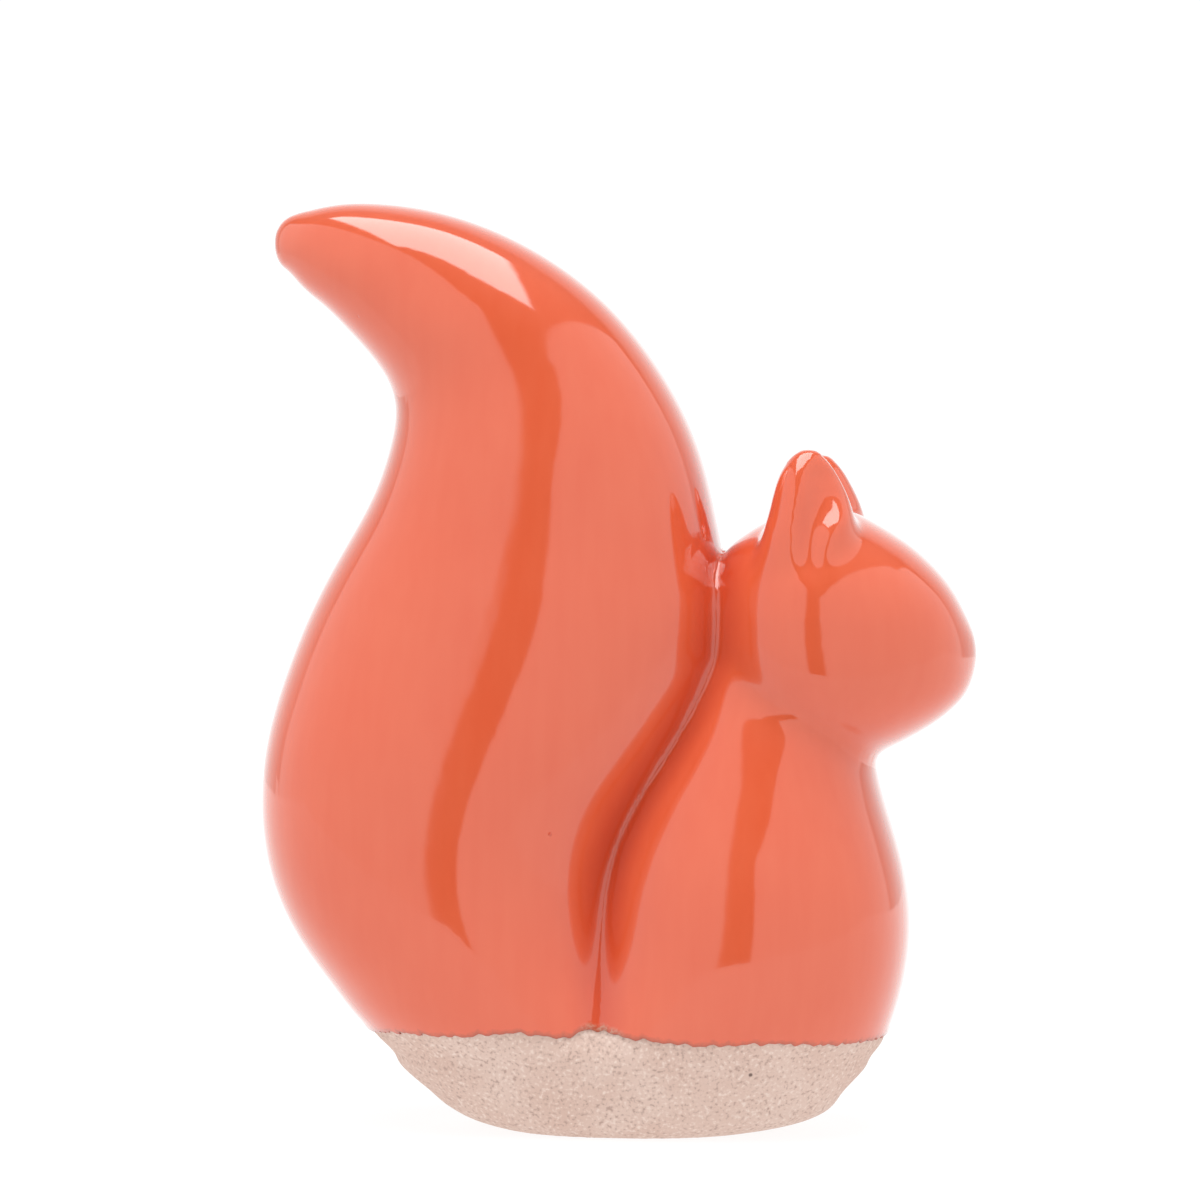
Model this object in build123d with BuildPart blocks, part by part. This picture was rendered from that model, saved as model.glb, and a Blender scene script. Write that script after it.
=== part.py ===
from build123d import *
import math
import os

# Squirrel figurine of hollow glazed clay, in millimetres.
# It faces +X, stands on Z = 0 and is alike on both sides of Y = 0.

# Overall sizes
overall_height = 160.0
overall_length = 123.5
overall_depth = 60.0

# Clay and glaze
glaze_thickness = 0.45
glaze_seat_gap = 0.03
wall_thickness = 4.5
floor_thickness = 5.5
slip_thickness = 0.4
slip_recess = 0.3
dip_height = 16.5

# Foot
foot_ring_width = 5.0
foot_recess_depth = 0.8
vent_diameter = 9.0
air_hole_diameter = 6.0
air_hole_height = 22.0

# Ears, placed from the middle of the head outwards
ear_tip_spread = 12.5
ear_root_spread = 13.0
ear_cup_offset = 5.5

# Shape of the cross-sections
fullness = 2.3
section_point_count = 12
least_half_width = 1.2
cutter_overrun = 20.0

# Outlines seen from the side, as shares of the length and the height.
# A station is (start x, start z, end x, end z, half depth), the last as a share of half the depth.
foot_station_shares = [
    (0.340, 0.000, 0.695, 0.000, 0.57),
    (0.285, 0.010, 0.770, 0.010, 0.66),
    (0.235, 0.035, 0.815, 0.035, 0.74),
    (0.185, 0.075, 0.855, 0.075, 0.83),
]
tail_station_shares = foot_station_shares + [
    (0.155, 0.100, 0.700, 0.100, 0.855),
    (0.127, 0.125, 0.590, 0.125, 0.875),
    (0.097, 0.155, 0.535, 0.155, 0.90),
    (0.059, 0.195, 0.518, 0.195, 0.93),
    (0.022, 0.250, 0.515, 0.250, 0.96),
    (0.002, 0.315, 0.533, 0.310, 0.985),
    (0.005, 0.405, 0.581, 0.380, 1.00),
    (0.035, 0.490, 0.633, 0.455, 0.97),
    (0.085, 0.580, 0.664, 0.540, 0.92),
    (0.140, 0.655, 0.650, 0.605, 0.86),
    (0.175, 0.717, 0.627, 0.690, 0.80),
    (0.188, 0.765, 0.600, 0.755, 0.74),
    (0.180, 0.800, 0.550, 0.825, 0.68),
    (0.155, 0.830, 0.480, 0.890, 0.63),
    (0.120, 0.860, 0.385, 0.945, 0.55),
    (0.080, 0.890, 0.255, 0.987, 0.44),
    (0.050, 0.910, 0.160, 0.999, 0.33),
    (0.028, 0.928, 0.095, 0.998, 0.23),
    (0.016, 0.938, 0.060, 0.993, 0.16),
]
tail_tip_share = (0.016, 0.976)

torso_station_shares = foot_station_shares + [
    (0.300, 0.100, 0.876, 0.100, 0.855),
    (0.405, 0.125, 0.887, 0.125, 0.875),
    (0.455, 0.155, 0.898, 0.155, 0.895),
    (0.479, 0.200, 0.907, 0.200, 0.915),
    (0.483, 0.255, 0.905, 0.255, 0.91),
    (0.497, 0.310, 0.889, 0.310, 0.86),
    (0.530, 0.365, 0.868, 0.365, 0.77),
    (0.573, 0.420, 0.850, 0.420, 0.66),
    (0.602, 0.465, 0.820, 0.465, 0.56),
    (0.620, 0.500, 0.785, 0.500, 0.48),
]

head_back_tip_share = (0.606, 0.526)
head_station_shares = [
    (0.618, 0.462, 0.618, 0.584, 0.20),
    (0.636, 0.453, 0.636, 0.603, 0.31),
    (0.655, 0.445, 0.655, 0.622, 0.41),
    (0.680, 0.432, 0.680, 0.638, 0.53),
    (0.715, 0.414, 0.715, 0.654, 0.66),
    (0.755, 0.402, 0.755, 0.667, 0.73),
    (0.805, 0.397, 0.805, 0.669, 0.74),
    (0.856, 0.402, 0.852, 0.654, 0.71),
    (0.906, 0.419, 0.902, 0.630, 0.63),
    (0.948, 0.439, 0.944, 0.601, 0.50),
    (0.978, 0.460, 0.975, 0.568, 0.34),
    (0.993, 0.480, 0.991, 0.542, 0.19),
]
nose_tip_share = (1.000, 0.512)

ear_station_shares = [
    (0.690, 0.575, 0.890, 0.575, 0.24),
    (0.700, 0.605, 0.885, 0.605, 0.255),
    (0.712, 0.635, 0.868, 0.635, 0.245),
    (0.722, 0.660, 0.845, 0.660, 0.21),
    (0.732, 0.685, 0.820, 0.685, 0.165),
    (0.745, 0.706, 0.804, 0.706, 0.115),
]
ear_tip_share = (0.776, 0.7265)

cup_station_shares = [
    (0.772, 0.620, 0.806, 0.620, 0.07),
    (0.766, 0.640, 0.825, 0.640, 0.11),
    (0.765, 0.665, 0.845, 0.665, 0.11),
    (0.768, 0.690, 0.815, 0.690, 0.07),
]

# Seams, from the foot up and from the tail to the chin
tail_seam_shares = [
    (0.515, 0.000),
    (0.505, 0.120),
    (0.497, 0.215),
    (0.515, 0.310),
    (0.580, 0.405),
    (0.634, 0.490),
    (0.650, 0.580),
    (0.648, 0.650),
    (0.648, 0.750),
]
neck_seam_shares = [
    (0.560, 0.480),
    (0.640, 0.474),
    (0.720, 0.456),
    (0.790, 0.430),
    (0.857, 0.404),
    (0.900, 0.390),
]
vent_place_share = 0.59


def place(x_share, z_share):
    """A point of the side view, from shares of the length and the height."""
    return Vector((x_share - 1 / 2) * overall_length, 0, z_share * overall_height)


def section_points(half_width, half_depth):
    """Points round a rounded oval, fuller than an ellipse."""
    points = []
    for index in range(section_point_count):
        angle = 2 * math.pi * index / section_point_count
        across = math.copysign(abs(math.cos(angle)) ** (2 / fullness), math.cos(angle))
        along = math.copysign(abs(math.sin(angle)) ** (2 / fullness), math.sin(angle))
        points.append((half_width * across, half_depth * along))
    return points


def lobe(station_shares, inset, first_tip=None, last_tip=None, spreads=(0.0, 0.0)):
    """A smooth solid through rounded ovals, drawn in by inset and moved aside by the spreads."""
    sections = []
    first_spread, last_spread = spreads
    step_count = len(station_shares) - 1
    for index, (start_x, start_z, end_x, end_z, depth_share) in enumerate(station_shares):
        spread = first_spread + (last_spread - first_spread) * index / step_count
        start = place(start_x, start_z)
        end = place(end_x, end_z)
        half_width = (end - start).length / 2 - inset
        half_depth = depth_share * overall_depth / 2 - inset
        if min(half_width, half_depth) < least_half_width:
            continue
        across = (end - start).normalized()
        middle = (start + end) / 2 - Vector(0, spread, 0)
        section_plane = Plane(origin=middle, x_dir=across, z_dir=across.cross(Vector(0, 1, 0)))
        with BuildSketch(section_plane, mode=Mode.PRIVATE) as section:
            with BuildLine():
                Spline(section_points(half_width, half_depth), periodic=True)
            make_face()
        sections.append(section.sketch.face())
    if first_tip:
        sections.insert(0, tip_vertex(first_tip, sections[0], inset, first_spread))
    if last_tip:
        sections.append(tip_vertex(last_tip, sections[-1], inset, last_spread))
    with BuildPart() as form:
        loft(sections)
    return form.part


def tip_vertex(tip_share, section, inset, spread):
    """The end point of a lobe, drawn in towards its nearest section."""
    tip = place(*tip_share) - Vector(0, spread, 0)
    inward = (section.center() - tip).normalized()
    return Vertex(*(tip + inward * inset))


def side_of_tail_seam(shift, reach):
    """Everything on one side of the tail seam moved by shift; reach is signed."""
    seam = [place(*share) + Vector(shift, 0, 0) for share in tail_seam_shares]
    flat = [(point.X, point.Z) for point in seam]
    low = (flat[0][0], -cutter_overrun)
    high = (flat[-1][0], overall_height + cutter_overrun)
    with BuildPart() as region:
        with BuildSketch(Plane.XZ):
            with BuildLine():
                Line(low, flat[0])
                Spline(flat)
                Polyline(flat[-1], high, (reach, high[1]), (reach, low[1]), low)
            make_face()
        extrude(amount=overall_depth, both=True)
    return region.part


def side_of_neck_seam(shift, top):
    """Everything on one side of the neck seam moved by shift, as far as the height top."""
    seam = [place(*share) + Vector(0, 0, shift) for share in neck_seam_shares]
    flat = [(point.X, point.Z) for point in seam]
    left = (-overall_length, flat[0][1])
    right = (overall_length, flat[-1][1])
    with BuildPart() as region:
        with BuildSketch(Plane.XZ):
            with BuildLine():
                Line(left, flat[0])
                Spline(flat)
                Polyline(flat[-1], right, (right[0], top), (left[0], top), left)
            make_face()
        extrude(amount=overall_depth, both=True)
    return region.part


def above(height):
    """Everything above a height."""
    with BuildPart() as region:
        with BuildSketch(Plane.XY.offset(height)):
            Rectangle(2 * overall_length, 2 * overall_depth)
        extrude(amount=overall_height + cutter_overrun)
    return region.part


def ear_body(inset, side):
    """An ear before its cup is cut, on the near side for 1 and the far side for -1."""
    spreads = (side * ear_root_spread, side * ear_tip_spread)
    return lobe(ear_station_shares, inset, last_tip=ear_tip_share, spreads=spreads)


def ear_cup(inset, side):
    """The hollow of an ear's cup, which grows as the ear around it is drawn in."""
    middle_spread = (ear_root_spread + ear_tip_spread) / 2
    spread = side * (middle_spread + ear_cup_offset)
    return lobe(cup_station_shares, -inset, spreads=(spread, spread))


# Shared forms: the glazed outside, the inside of the glaze, the clay's outside and the hollow
glaze_inset = glaze_thickness
clay_inset = glaze_thickness + glaze_seat_gap
hollow_inset = clay_inset + wall_thickness

tail_outside = lobe(tail_station_shares, 0.0, last_tip=tail_tip_share)
tail_under_glaze = lobe(tail_station_shares, glaze_inset, last_tip=tail_tip_share)
tail_clay = lobe(tail_station_shares, clay_inset, last_tip=tail_tip_share)
tail_hollow = lobe(tail_station_shares, hollow_inset)
torso_outside = lobe(torso_station_shares, 0.0)
torso_under_glaze = lobe(torso_station_shares, glaze_inset)
torso_clay = lobe(torso_station_shares, clay_inset)
torso_hollow = lobe(torso_station_shares, hollow_inset)
head_outside = lobe(head_station_shares, 0.0, head_back_tip_share, nose_tip_share)
head_under_glaze = lobe(head_station_shares, glaze_inset, head_back_tip_share, nose_tip_share)
head_clay = lobe(head_station_shares, clay_inset, head_back_tip_share, nose_tip_share)
head_hollow = lobe(head_station_shares, hollow_inset)

# The two halves of the figure on either side of the seams
half_slip = slip_thickness / 2
slip_start_height = foot_recess_depth + slip_recess
seam_wall = half_slip + wall_thickness
tail_side = side_of_tail_seam(-half_slip, -overall_length)
body_side = side_of_tail_seam(half_slip, overall_length)
tail_glaze_side = side_of_tail_seam(0.0, -overall_length)
body_glaze_side = side_of_tail_seam(0.0, overall_length)
tail_hollow_side = side_of_tail_seam(-seam_wall, -overall_length)
body_hollow_side = side_of_tail_seam(seam_wall, overall_length)
torso_side = side_of_neck_seam(-half_slip, -overall_height)
head_side = side_of_neck_seam(half_slip, 2 * overall_height)
torso_glaze_side = side_of_neck_seam(0.0, -overall_height)
head_glaze_side = side_of_neck_seam(0.0, 2 * overall_height)
above_floor = above(floor_thickness)
above_dip = above(dip_height)
above_slip_start = above(slip_start_height)

with BuildPart() as foot_recess:
    foot = foot_station_shares[0]
    foot_middle = (place(foot[0], foot[1]) + place(foot[2], foot[3])) / 2
    foot_half_width = (foot[2] - foot[0]) * overall_length / 2 - clay_inset - foot_ring_width
    foot_half_depth = foot[4] * overall_depth / 2 - clay_inset - foot_ring_width
    with BuildSketch(Plane(origin=foot_middle)):
        with BuildLine():
            Spline(section_points(foot_half_width, foot_half_depth), periodic=True)
        make_face()
    extrude(amount=foot_recess_depth)

with BuildPart() as vent:
    with BuildSketch(Plane(origin=place(vent_place_share, 0.0))):
        Circle(vent_diameter / 2)
    extrude(amount=floor_thickness + wall_thickness)

with BuildPart() as air_hole:
    hole_start = Vector(place(tail_seam_shares[1][0], 0).X - cutter_overrun, 0, air_hole_height)
    with BuildSketch(Plane(origin=hole_start, x_dir=(0, 1, 0), z_dir=(1, 0, 0))):
        Circle(air_hole_diameter / 2)
    extrude(amount=2 * cutter_overrun)

with BuildPart() as tail_cavity:
    add(tail_hollow)
    add(tail_hollow_side, mode=Mode.INTERSECT)
    add(above_floor, mode=Mode.INTERSECT)

with BuildPart() as body_cavity:
    add(torso_hollow)
    add(head_hollow)
    add(body_hollow_side, mode=Mode.INTERSECT)
    add(above_floor, mode=Mode.INTERSECT)

# Clay castings
with BuildPart() as tail_casting:
    add(tail_clay)
    add(tail_side, mode=Mode.INTERSECT)
    add(tail_cavity.part, mode=Mode.SUBTRACT)
    add(foot_recess.part, mode=Mode.SUBTRACT)
    add(air_hole.part, mode=Mode.SUBTRACT)

with BuildPart() as torso_casting:
    add(torso_clay)
    add(body_side, mode=Mode.INTERSECT)
    add(torso_side, mode=Mode.INTERSECT)
    add(body_cavity.part, mode=Mode.SUBTRACT)
    add(foot_recess.part, mode=Mode.SUBTRACT)
    add(vent.part, mode=Mode.SUBTRACT)
    add(air_hole.part, mode=Mode.SUBTRACT)

with BuildPart() as head_casting:
    add(head_clay)
    add(body_side, mode=Mode.INTERSECT)
    add(head_side, mode=Mode.INTERSECT)
    add(body_cavity.part, mode=Mode.SUBTRACT)

# Clay slip in the seams, wiped back a little from the outside
with BuildPart() as tail_seam_slab:
    add(side_of_tail_seam(half_slip, -overall_length))
    add(tail_side, mode=Mode.SUBTRACT)

with BuildPart() as slip_on_tail:
    add(lobe(tail_station_shares, clay_inset + slip_recess))
    add(tail_seam_slab.part, mode=Mode.INTERSECT)

with BuildPart() as slip_on_torso:
    add(lobe(torso_station_shares, clay_inset + 2 * slip_recess))
    add(tail_seam_slab.part, mode=Mode.INTERSECT)
    add(torso_glaze_side, mode=Mode.INTERSECT)
    add(slip_on_tail.part, mode=Mode.INTERSECT)

with BuildPart() as slip_on_head:
    add(lobe(head_station_shares, clay_inset + 2 * slip_recess, head_back_tip_share, nose_tip_share))
    add(tail_seam_slab.part, mode=Mode.INTERSECT)
    add(head_glaze_side, mode=Mode.INTERSECT)
    add(slip_on_tail.part, mode=Mode.INTERSECT)

with BuildPart() as tail_joint_slip:
    add(slip_on_torso.part)
    add(slip_on_head.part)
    add(air_hole.part, mode=Mode.SUBTRACT)
    add(above_slip_start, mode=Mode.INTERSECT)

with BuildPart() as neck_joint_slip:
    add(torso_clay)
    add(head_clay, mode=Mode.INTERSECT)
    add(body_side, mode=Mode.INTERSECT)
    add(torso_side, mode=Mode.SUBTRACT)
    add(head_side, mode=Mode.SUBTRACT)
    add(body_cavity.part, mode=Mode.SUBTRACT)

# Glaze coats, each cut to its place before the inside is taken out
with BuildPart() as tail_glaze:
    add(tail_outside)
    add(tail_glaze_side, mode=Mode.INTERSECT)
    add(above_dip, mode=Mode.INTERSECT)
    add(tail_under_glaze, mode=Mode.SUBTRACT)

with BuildPart() as torso_glaze:
    add(torso_outside)
    add(body_glaze_side, mode=Mode.INTERSECT)
    add(torso_glaze_side, mode=Mode.INTERSECT)
    add(above_dip, mode=Mode.INTERSECT)
    add(torso_under_glaze, mode=Mode.SUBTRACT)

right_ear_outside = ear_body(0.0, 1)
left_ear_outside = ear_body(0.0, -1)

with BuildPart() as head_glaze:
    add(head_outside)
    add(body_glaze_side, mode=Mode.INTERSECT)
    add(head_glaze_side, mode=Mode.INTERSECT)
    add(right_ear_outside, mode=Mode.SUBTRACT)
    add(left_ear_outside, mode=Mode.SUBTRACT)
    add(head_under_glaze, mode=Mode.SUBTRACT)

pieces = {
    "tail_casting": tail_casting.part,
    "torso_casting": torso_casting.part,
    "head_casting": head_casting.part,
    "tail_joint_slip": tail_joint_slip.part,
    "neck_joint_slip": neck_joint_slip.part,
    "tail_glaze": tail_glaze.part,
    "torso_glaze": torso_glaze.part,
    "head_glaze": head_glaze.part,
}

# Ears, each a solid clay piece and its coat
for ear_name, ear_side in (("right_ear", 1), ("left_ear", -1)):
    ear_outside = ear_body(0.0, ear_side)
    ear_under_glaze = ear_body(glaze_inset, ear_side)
    ear_clay = ear_body(clay_inset, ear_side)
    cup_outside = ear_cup(0.0, ear_side)
    cup_under_glaze = ear_cup(glaze_inset, ear_side)
    cup_clay = ear_cup(clay_inset, ear_side)
    with BuildPart() as ear:
        add(ear_clay)
        add(head_clay, mode=Mode.SUBTRACT)
        add(cup_clay, mode=Mode.SUBTRACT)
    with BuildPart() as ear_core:
        add(ear_under_glaze)
        add(cup_under_glaze, mode=Mode.SUBTRACT)
    with BuildPart() as ear_glaze:
        add(ear_outside)
        add(head_under_glaze, mode=Mode.SUBTRACT)
        add(cup_outside, mode=Mode.SUBTRACT)
        add(ear_core.part, mode=Mode.SUBTRACT)
    pieces[ear_name] = ear.part
    pieces[ear_name + "_glaze"] = ear_glaze.part

os.makedirs("parts", exist_ok=True)
for piece_name, piece in pieces.items():
    piece.label = piece_name
    export_step(piece, f"parts/{piece_name}.step")
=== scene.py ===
import math

import bmesh
import bpy
import numpy as np
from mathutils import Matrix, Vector


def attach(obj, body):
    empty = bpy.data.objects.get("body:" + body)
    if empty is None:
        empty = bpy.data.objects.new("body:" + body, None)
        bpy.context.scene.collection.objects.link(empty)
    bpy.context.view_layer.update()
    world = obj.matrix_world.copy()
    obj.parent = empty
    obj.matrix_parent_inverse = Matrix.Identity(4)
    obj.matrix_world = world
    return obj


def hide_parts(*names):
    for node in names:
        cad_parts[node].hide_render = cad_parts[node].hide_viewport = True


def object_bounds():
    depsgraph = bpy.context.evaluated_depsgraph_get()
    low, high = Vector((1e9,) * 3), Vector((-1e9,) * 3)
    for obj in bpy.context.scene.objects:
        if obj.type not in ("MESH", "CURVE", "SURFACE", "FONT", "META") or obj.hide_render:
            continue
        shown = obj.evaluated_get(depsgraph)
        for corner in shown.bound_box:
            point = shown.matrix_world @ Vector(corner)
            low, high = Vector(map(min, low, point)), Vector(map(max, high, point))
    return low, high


# Glazed clay squirrel: one smooth outer form is worked out from rounded lobes,
# then cut along its creases and its dip line into coats of glaze and bare castings.
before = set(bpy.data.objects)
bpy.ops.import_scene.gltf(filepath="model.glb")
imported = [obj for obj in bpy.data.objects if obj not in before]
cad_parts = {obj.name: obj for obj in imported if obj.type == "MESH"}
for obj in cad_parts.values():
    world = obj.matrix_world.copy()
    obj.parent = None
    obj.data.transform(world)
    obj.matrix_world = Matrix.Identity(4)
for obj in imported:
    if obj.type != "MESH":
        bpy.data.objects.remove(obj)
cad_low, cad_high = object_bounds()

MM = 0.001
LENGTH = (cad_high.x - cad_low.x) / MM
DEPTH = (cad_high.y - cad_low.y) / MM
HEIGHT = (cad_high.z - cad_low.z) / MM

# Sizes in millimetres, with shares of a whole size and counts of points and smoothing rounds
VOXEL = 0.6
GLAZE = 0.45
CLAY_INSET = 0.47
WALL = 3.6
DIP_HEIGHT = 16.5
DIP_FAR_RISE = 0.9
DIP_WAVE = 0.5
DIP_GRAIN = 0.12
# Waves of the dipped edge: rounds, phase and share
DIP_FAR_WAVES = ((5, 0.6, 1.0), (11, 2.1, 0.5))
DIP_GRAIN_WAVES = ((61, 0.0, 1.0), (97, 1.3, 1.0), (149, 0.4, 1.0))
DIP_NEAR_SHARES = (-0.25, 0.25)
DIP_SIDE_SHARES = (0.0, 0.3)
FOOT_RING = 5.0
FOOT_RECESS = 0.8
VENT_RADIUS = 4.5
EAR_ROOT_SPREAD = 13.0
EAR_TIP_SPREAD = 12.5
CUP_DEPTH = 2.4
CUP_EDGE = 0.8
CUP_BACK_SLOPE = (0.0, 0.34)
CUP_FRONT_SLOPE = (0.40, 1.05)
CUP_MARGIN = (-0.5, 1.5)
FULLNESS = 2.3
RING_POINTS = 96
RINGS_PER_STATION = 10
TIP_RING_SHARES = (np.arange(9) / 9) ** 2
TIP_LEAST = 0.05
EVEN_ROUNDS = 24
NECK_ROUNDS = 60
CUP_ROUNDS = 8
EAR_ROUNDS = 30
ROOT_ROUNDS = 30
ROOT_BLEND_SHARE = 0.09
NECK_BLEND = 6.0
NECK_CLEAR = (2.0, 6.0)
RELAX_IN = 0.5
RELAX_OUT = -0.52
FLAT_FOOT_VOXELS = 1.2
CUT_TOLERANCE = 1e-4
GROOVE_ROUNDS = 60
GROOVE_BLEND = 3.5
GROOVE_TOP_SHARES = (0.575, 0.600)
EAR_ROOT_SHARE = 0.05
EAR_ZONE_SHARES = (0.70, 0.90)
EAR_ZONE_LOW_SHARE = 0.55
FOOT_REACH = 3.0
CLAY_EASE = 3.0
TIP_WALL_SHARE = 0.3
RECESS_SLOPE = 0.8
EDGE_ROUND = 0.6
EDGE_LEAST = 0.06
EDGE_BEAD = 0.10
DIP_LEVELS = (0.0, 0.08, 0.2, 0.4, 0.65, 1.0)

# Camera, from the photograph's 1200 pixel frame: distance in metres, height and offset in millimetres
PHOTO_PIXELS = 1200
PIXELS_PER_MM = 5.78
CAMERA_DISTANCE = 0.68
CAMERA_AZIMUTH = 8.0
CAMERA_ELEVATION = 0.0
CAMERA_HEIGHT = 90.8
CAMERA_ASIDE = -3.1
SENSOR_WIDTH = 36.0

# Light tent: azimuths in degrees from the camera, slopes of the edges, soft edges and glow.
# The floor's reach and drop are in metres.
LEFT_PANEL = (-120, -18)
LEFT_TOPS = (1.3, 1.2)
LEFT_SOFT = (0.10, 0.07)
RIGHT_PANEL = (-7, 121)
RIGHT_TOPS = (0.85, 2.0)
RIGHT_SOFT = (0.09, 0.20)
PANEL_TOP_SOFT = 0.05
PANEL_GLOW = 1.0
TOP_ASIDE = (-0.55, 0.30)
TOP_TOWARD = (-0.22, 0.60)
TOP_SOFT = 0.03
TOP_GLOW = 4.3
BACK_REACH = (-0.40, -0.55)
BACK_TOP = (0.95, 0.80)
BACK_GLOW = (0.60, 1.10)
DARK_GLOW = (0.10, 0.32)
DARK_RISE = (0.60, 0.90)
BACKDROP_GLOW = 1.05
FLOOR_FRONT = 0.16
FLOOR_REACH = 3.0
FLOOR_DROP = 0.0001
FLOOR_COLOUR = (0.14, 0.14, 0.14, 1)
FLOOR_GLOW = 0.86
FLOOR_ROUGHNESS = 0.9
LEAST_FACING = 0.02
LEAST_RISE = 0.05

# Linear colours
GLAZE_COLOUR = (0.765, 0.112, 0.041, 1)
GLAZE_LIGHT_COLOUR = (0.785, 0.128, 0.051, 1)
# Painted shade colour for the groove, also the colour of the pinholes
GLAZE_SHADE_AND_PIN_COLOUR = (0.62, 0.062, 0.022, 1)
GLAZE_EDGE_COLOUR = (0.50, 0.095, 0.045, 1)
GLAZE_THIN_COLOUR = (0.55, 0.28, 0.19, 1)
CLAY_COLOUR = (0.69, 0.49, 0.41, 1)
CLAY_LIGHT_COLOUR = (0.84, 0.68, 0.60, 1)
# Colour of the clay's dark grains, also used for painted shade under the groove
CLAY_DARK_GRAIN_AND_SHADE_COLOUR = (0.46, 0.31, 0.26, 1)
SPECK_COLOUR = (0.10, 0.06, 0.05, 1)

# Materials: scales in cells per metre, heights in metres, ranges in millimetres or in shares of a noise
GRAIN_DETAIL = 2
STREAK_STRETCH = (1, 1, 0.12)
STREAK_SCALE = 420
STREAK_SHARE = 0.4
CLOUD_SCALE = 45
CLOUD_DETAIL = 3
CLOUD_SHARE = 0.6
PATCH_SCALE = 90
EVEN_RANGE = (0.35, 0.65)
# Painted shade towards the groove: distance from the crease in millimetres, and how much it darkens
GROOVE_SHADE_RANGE = (0.2, 5.0)
GROOVE_SHADE_MIX = (0.7, 0.0)
ROLL_GRAIN = 0.9
ROLL_RANGE = (0.75, 1.45)
ROLL_MIX = (0.9, 0.0)
THIN_CREASE_RANGE = (2.2, 4.2)
THIN_ABOVE_RANGE = (0.5, 1.3)
THIN_GRAIN_RANGE = (0.42, 0.56)
THIN_MIX = 0.75
PIN_SCALE = 110
PIN_SHARE = 0.22
PIN_RANGE = (0.02, 0.045)
PIN_MIX = 0.7
RIPPLE_SCALE = 110
GLAZE_ROUGHNESS = 0.09
COAT_WEIGHT = 1.0
COAT_ROUGHNESS = 0.03
PATCH_MIX = (0.0, 0.35)
LIGHT_GRAIN_RANGE = (0.56, 0.70)
LIGHT_GRAIN_MIX = (0.0, 0.9)
DARK_GRAIN_RANGE = (0.44, 0.30)
DARK_GRAIN_MIX = (0.0, 0.8)
# Painted shade in the bare clay under the end of the groove
CLAY_SHADE_CREASE_RANGE = (0.5, 4.5)
CLAY_SHADE_MIX = (0.30, 0.0)
CLAY_SHADE_ABOVE_RANGE = (-6.0, -2.0)
CLAY_SHADE_GRAIN_RANGE = (0.55, 0.40)
SPECK_SCALE = 200
SPECK_SHARE = 0.22
SPECK_RANGE = (0.05, 0.09)
SPECK_MIX = 0.85
CLAY_ROUGHNESS = 0.92
GLAZE_IOR = 1.5
GRAIN_SCALE = 1500
GRAIN_HEIGHT = 0.00012
RIPPLE = 0.00004
PIN_DEPTH = 0.00010

# Side view stations as shares of length and height, the last a share of half the depth
FOOT_SHARES = [
    (0.340, 0.000, 0.695, 0.000, 0.57),
    (0.285, 0.010, 0.770, 0.010, 0.66),
    (0.235, 0.035, 0.815, 0.035, 0.74),
    (0.185, 0.075, 0.855, 0.075, 0.83),
]
TAIL_SHARES = FOOT_SHARES + [
    (0.155, 0.100, 0.700, 0.100, 0.855),
    (0.127, 0.125, 0.612, 0.125, 0.875),
    (0.097, 0.155, 0.566, 0.155, 0.90),
    (0.059, 0.195, 0.536, 0.195, 0.93),
    (0.022, 0.250, 0.521, 0.250, 0.96),
    (0.002, 0.315, 0.533, 0.310, 0.985),
    (0.005, 0.405, 0.581, 0.380, 1.00),
    (0.035, 0.490, 0.633, 0.455, 0.97),
    (0.085, 0.580, 0.664, 0.540, 0.92),
    (0.140, 0.655, 0.650, 0.605, 0.86),
    (0.175, 0.717, 0.627, 0.690, 0.80),
    (0.188, 0.765, 0.600, 0.755, 0.74),
    (0.180, 0.800, 0.550, 0.825, 0.68),
    (0.155, 0.830, 0.480, 0.890, 0.63),
    (0.120, 0.860, 0.385, 0.945, 0.55),
    (0.080, 0.890, 0.255, 0.987, 0.44),
    (0.050, 0.910, 0.160, 0.999, 0.33),
    (0.028, 0.928, 0.095, 0.998, 0.23),
    (0.016, 0.938, 0.060, 0.993, 0.16),
]
TAIL_TIP_SHARE = (0.016, 0.976)
TORSO_SHARES = FOOT_SHARES + [
    (0.300, 0.100, 0.876, 0.100, 0.855),
    (0.386, 0.125, 0.887, 0.125, 0.875),
    (0.430, 0.155, 0.898, 0.155, 0.895),
    (0.461, 0.200, 0.907, 0.200, 0.915),
    (0.477, 0.255, 0.905, 0.255, 0.91),
    (0.497, 0.310, 0.889, 0.310, 0.86),
    (0.530, 0.365, 0.868, 0.365, 0.77),
    (0.573, 0.420, 0.850, 0.420, 0.66),
    (0.602, 0.465, 0.820, 0.465, 0.56),
    (0.620, 0.500, 0.785, 0.500, 0.48),
]
HEAD_BACK_SHARE = (0.606, 0.526)
HEAD_SHARES = [
    (0.618, 0.462, 0.618, 0.584, 0.20),
    (0.636, 0.453, 0.636, 0.603, 0.31),
    (0.655, 0.445, 0.655, 0.622, 0.41),
    (0.680, 0.432, 0.680, 0.638, 0.53),
    (0.715, 0.414, 0.715, 0.654, 0.66),
    (0.755, 0.402, 0.755, 0.667, 0.73),
    (0.805, 0.397, 0.805, 0.669, 0.74),
    (0.856, 0.402, 0.852, 0.654, 0.71),
    (0.906, 0.419, 0.902, 0.630, 0.63),
    (0.948, 0.439, 0.944, 0.601, 0.50),
    (0.978, 0.460, 0.975, 0.568, 0.34),
    (0.993, 0.480, 0.991, 0.542, 0.19),
]
NOSE_SHARE = (1.000, 0.512)
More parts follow.
